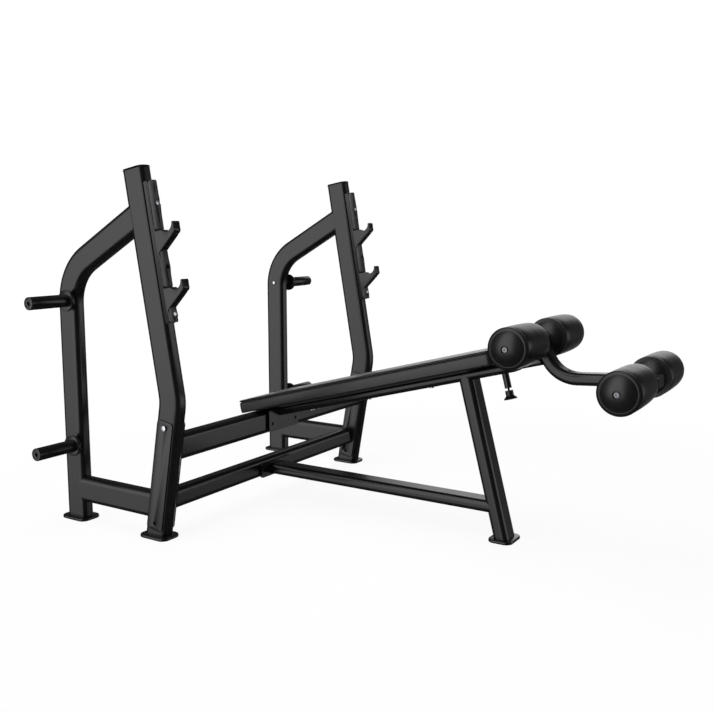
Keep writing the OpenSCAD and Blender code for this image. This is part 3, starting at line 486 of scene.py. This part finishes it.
# The wide overhead lamp: its place, what it faces, its side in metres and its watts
LAMP_PLACE, LAMP_AIM, LAMP_SIDE, LAMP_POWER = Vector((-0.6, -0.6, 4.6)), Vector(), 3.4, 215
# The camera: place, degrees down from level, degrees round from facing +Y, lens in mm
EYE, EYE_DOWN, EYE_ROUND, LENS = (1.5607, -2.6468, 1.0115), 8.12, 32.23, 45.05


def total(tree, values):
    """The sum of several shader values, the first of which may be a number."""
    result = values[0]
    for value in values[1:]:
        result = add(tree, "Math", {"operation": "ADD"}, result, value).outputs[0]
    return result


def ramped(tree, value, stops):
    """Straight stretches through stops of (value, result), and level beyond both ends."""
    steps = [add(tree, "MapRange", {"From Min": v0, "From Max": v1, "To Min": 0.0,
                                    "To Max": r1 - r0, "clamp": True}, Value=value)
             for (v0, r0), (v1, r1) in zip(stops, stops[1:])]
    return total(tree, [stops[0][1]] + [step.outputs["Result"] for step in steps])


def panel(tree, direction, azimuth, height, spans, fades, strength):
    """Light of a soft panel: full within spans of its middle, gone past spans and fades.

    Spans and fades are pairs, sideways and upwards, and each fade is a smooth step."""
    turned = add(tree, "Math", {"operation": "SUBTRACT"}, direction[0], azimuth)
    wrapped = add(tree, "Math", {"operation": "WRAP"}, turned.outputs[0], 180.0, -180.0)
    lifted = add(tree, "Math", {"operation": "SUBTRACT"}, direction[1], height)
    light = strength
    for angle, span, fade in zip((wrapped, lifted), spans, fades):
        size = add(tree, "Math", {"operation": "ABSOLUTE"}, angle.outputs[0])
        soft = add(tree, "MapRange", {"interpolation_type": "SMOOTHSTEP", "From Min": span,
                                      "From Max": span + fade, "To Min": 1.0, "To Max": 0.0},
                   Value=size.outputs[0])
        light = add(tree, "Math", {"operation": "MULTIPLY"},
                    soft.outputs["Result"], light).outputs[0]
    return light


def bearings(tree):
    """Azimuth and height of the ray's direction in degrees: atan2(y, x) and asin(z)."""
    way = add(tree, "SeparateXYZ", Vector=add(tree, "TexCoord").outputs["Generated"])
    turn = add(tree, "Math", {"operation": "ARCTAN2"}, way.outputs["Y"], way.outputs["X"])
    rise = add(tree, "Math", {"operation": "ARCSINE"}, way.outputs["Z"])
    return [add(tree, "Math", {"operation": "MULTIPLY"}, angle.outputs[0],
                math.degrees(1)).outputs[0] for angle in (turn, rise)]


def backdrop(tree, share, lit, white, output):
    """Shows white to that share of camera and transmitted rays, and lit to all others."""
    seen = add(tree, "LightPath").outputs
    shown = add(tree, "Math", {"operation": "MAXIMUM"},
                seen["Is Camera Ray"], seen["Is Transmission Ray"])
    amount = add(tree, "Math", {"operation": "MULTIPLY"}, shown.outputs[0], share)
    mix = add(tree, "MixShader", None, amount.outputs[0], lit.outputs[0], white.outputs[0])
    add(tree, output, Surface=mix.outputs[0])


def room():
    """White to the camera; to everything else a dim room with soft panels round the bench."""
    world = bpy.data.worlds.new("room")
    bpy.context.scene.world = world
    world.use_nodes = True
    tree = world.node_tree
    tree.nodes.clear()
    direction = bearings(tree)
    light = total(tree, [ROOM_DIM] + [panel(tree, direction, *row) for row in PANELS])
    lit = add(tree, "Background", {"Color": (1, 1, 1, 1)}, Strength=light)
    white = add(tree, "Background", {"Color": (1, 1, 1, 1), "Strength": 1.0})
    backdrop(tree, 1.0, lit, white, "OutputWorld")


def sweep():
    """The floor: white to the camera with a faint shadow, plain paint to light, hidden in gloss."""
    mesh = bpy.data.meshes.new("studio_floor")
    mesh.from_pydata([(x * FLOOR_REACH, y * FLOOR_REACH, 0)
                      for x, y in ((-1, -1), (1, -1), (1, 1), (-1, 1))], [], [(0, 1, 2, 3)])
    made = bpy.data.materials.new("white_sweep")
    made.use_nodes = True
    tree = made.node_tree
    tree.nodes.clear()
    paint = add(tree, "BsdfDiffuse", {"Color": FLOOR_PAINT})
    far = add(tree, "VectorMath", {"operation": "LENGTH"}, add(tree, "TexCoord").outputs["Object"])
    white = add(tree, "Emission", Strength=ramped(tree, far.outputs["Value"], FLOOR_WHITE))
    backdrop(tree, 1 - SHADOW_SHARE, paint, white, "OutputMaterial")
    mesh.materials.append(made)
    floor = bpy.data.objects.new("studio_floor", mesh)
    bpy.context.scene.collection.objects.link(floor)
    floor.visible_glossy = False


def overhead_lamp():
    """A wide square lamp overhead that carries the plain level and the shadow."""
    data = bpy.data.lights.new("overhead", "AREA")
    data.size = LAMP_SIDE
    data.energy = LAMP_POWER
    made = bpy.data.objects.new("overhead", data)
    bpy.context.scene.collection.objects.link(made)
    made.location = LAMP_PLACE
    made.rotation_mode = "QUATERNION"
    made.rotation_quaternion = (LAMP_PLACE - LAMP_AIM).to_track_quat("Z", "Y")
    made.visible_camera = False
    made.visible_glossy = False


def camera():
    """The viewing angle: from +X and -Y of the bench, a little downwards."""
    data = bpy.data.cameras.new("view")
    data.lens = LENS
    data.sensor_width = 36.0
    made = bpy.data.objects.new("view", data)
    bpy.context.scene.collection.objects.link(made)
    made.location = EYE
    made.rotation_euler = [math.radians(turn) for turn in (90 - EYE_DOWN, 0, EYE_ROUND)]
    bpy.context.scene.camera = made


# ------------------------------------------------------------------ assembly

# Nodes whose moulded, ground or pressed edges are rounded, with the rounding's width in mm
PAIRED = {"bar_catch": 2.6, "catch_guards": 2.5, "upright_cap": 5, "outer_plate": 1.2,
          "end_plate": 1.5, "front_foot": 3, "rear_foot": 3}
ROUNDED = [("%s_%s" % (name, side), width) for side in SIDES for name, width in PAIRED.items()]
ROUNDED += [("horn_%s_%s" % (level, side), 2.5) for level in LEVELS for side in SIDES]
ROUNDED += [("horn_collars", 2), ("leg_foot", 3)]
# The same for bolts and screws, then the heights in metres between which they are painted black as the shade of
# their holes
FASTENERS = {"frame_bolts": (0.8, 0.0, 0.3), "horn_bolts": (0.8, 0.0, 0.5),
             "catch_screws": (0.6, 0.85, 0.94)}

# The CAD nodes are dressed first, because a rounded copy takes its node's finish
dress_frame()
bench_pad()
for level in LEVELS:
    for hand in SIDES:
        foam_roller(level, hand)
for level in LEVELS:
    hub_cap(level)
for name, width in ROUNDED:
    rounded_copy(name, width)
for name, row in FASTENERS.items():
    painted_shade_copy(name, *row)
room()
sweep()
overhead_lamp()
camera()
bpy.context.scene.view_settings.view_transform = "Standard"
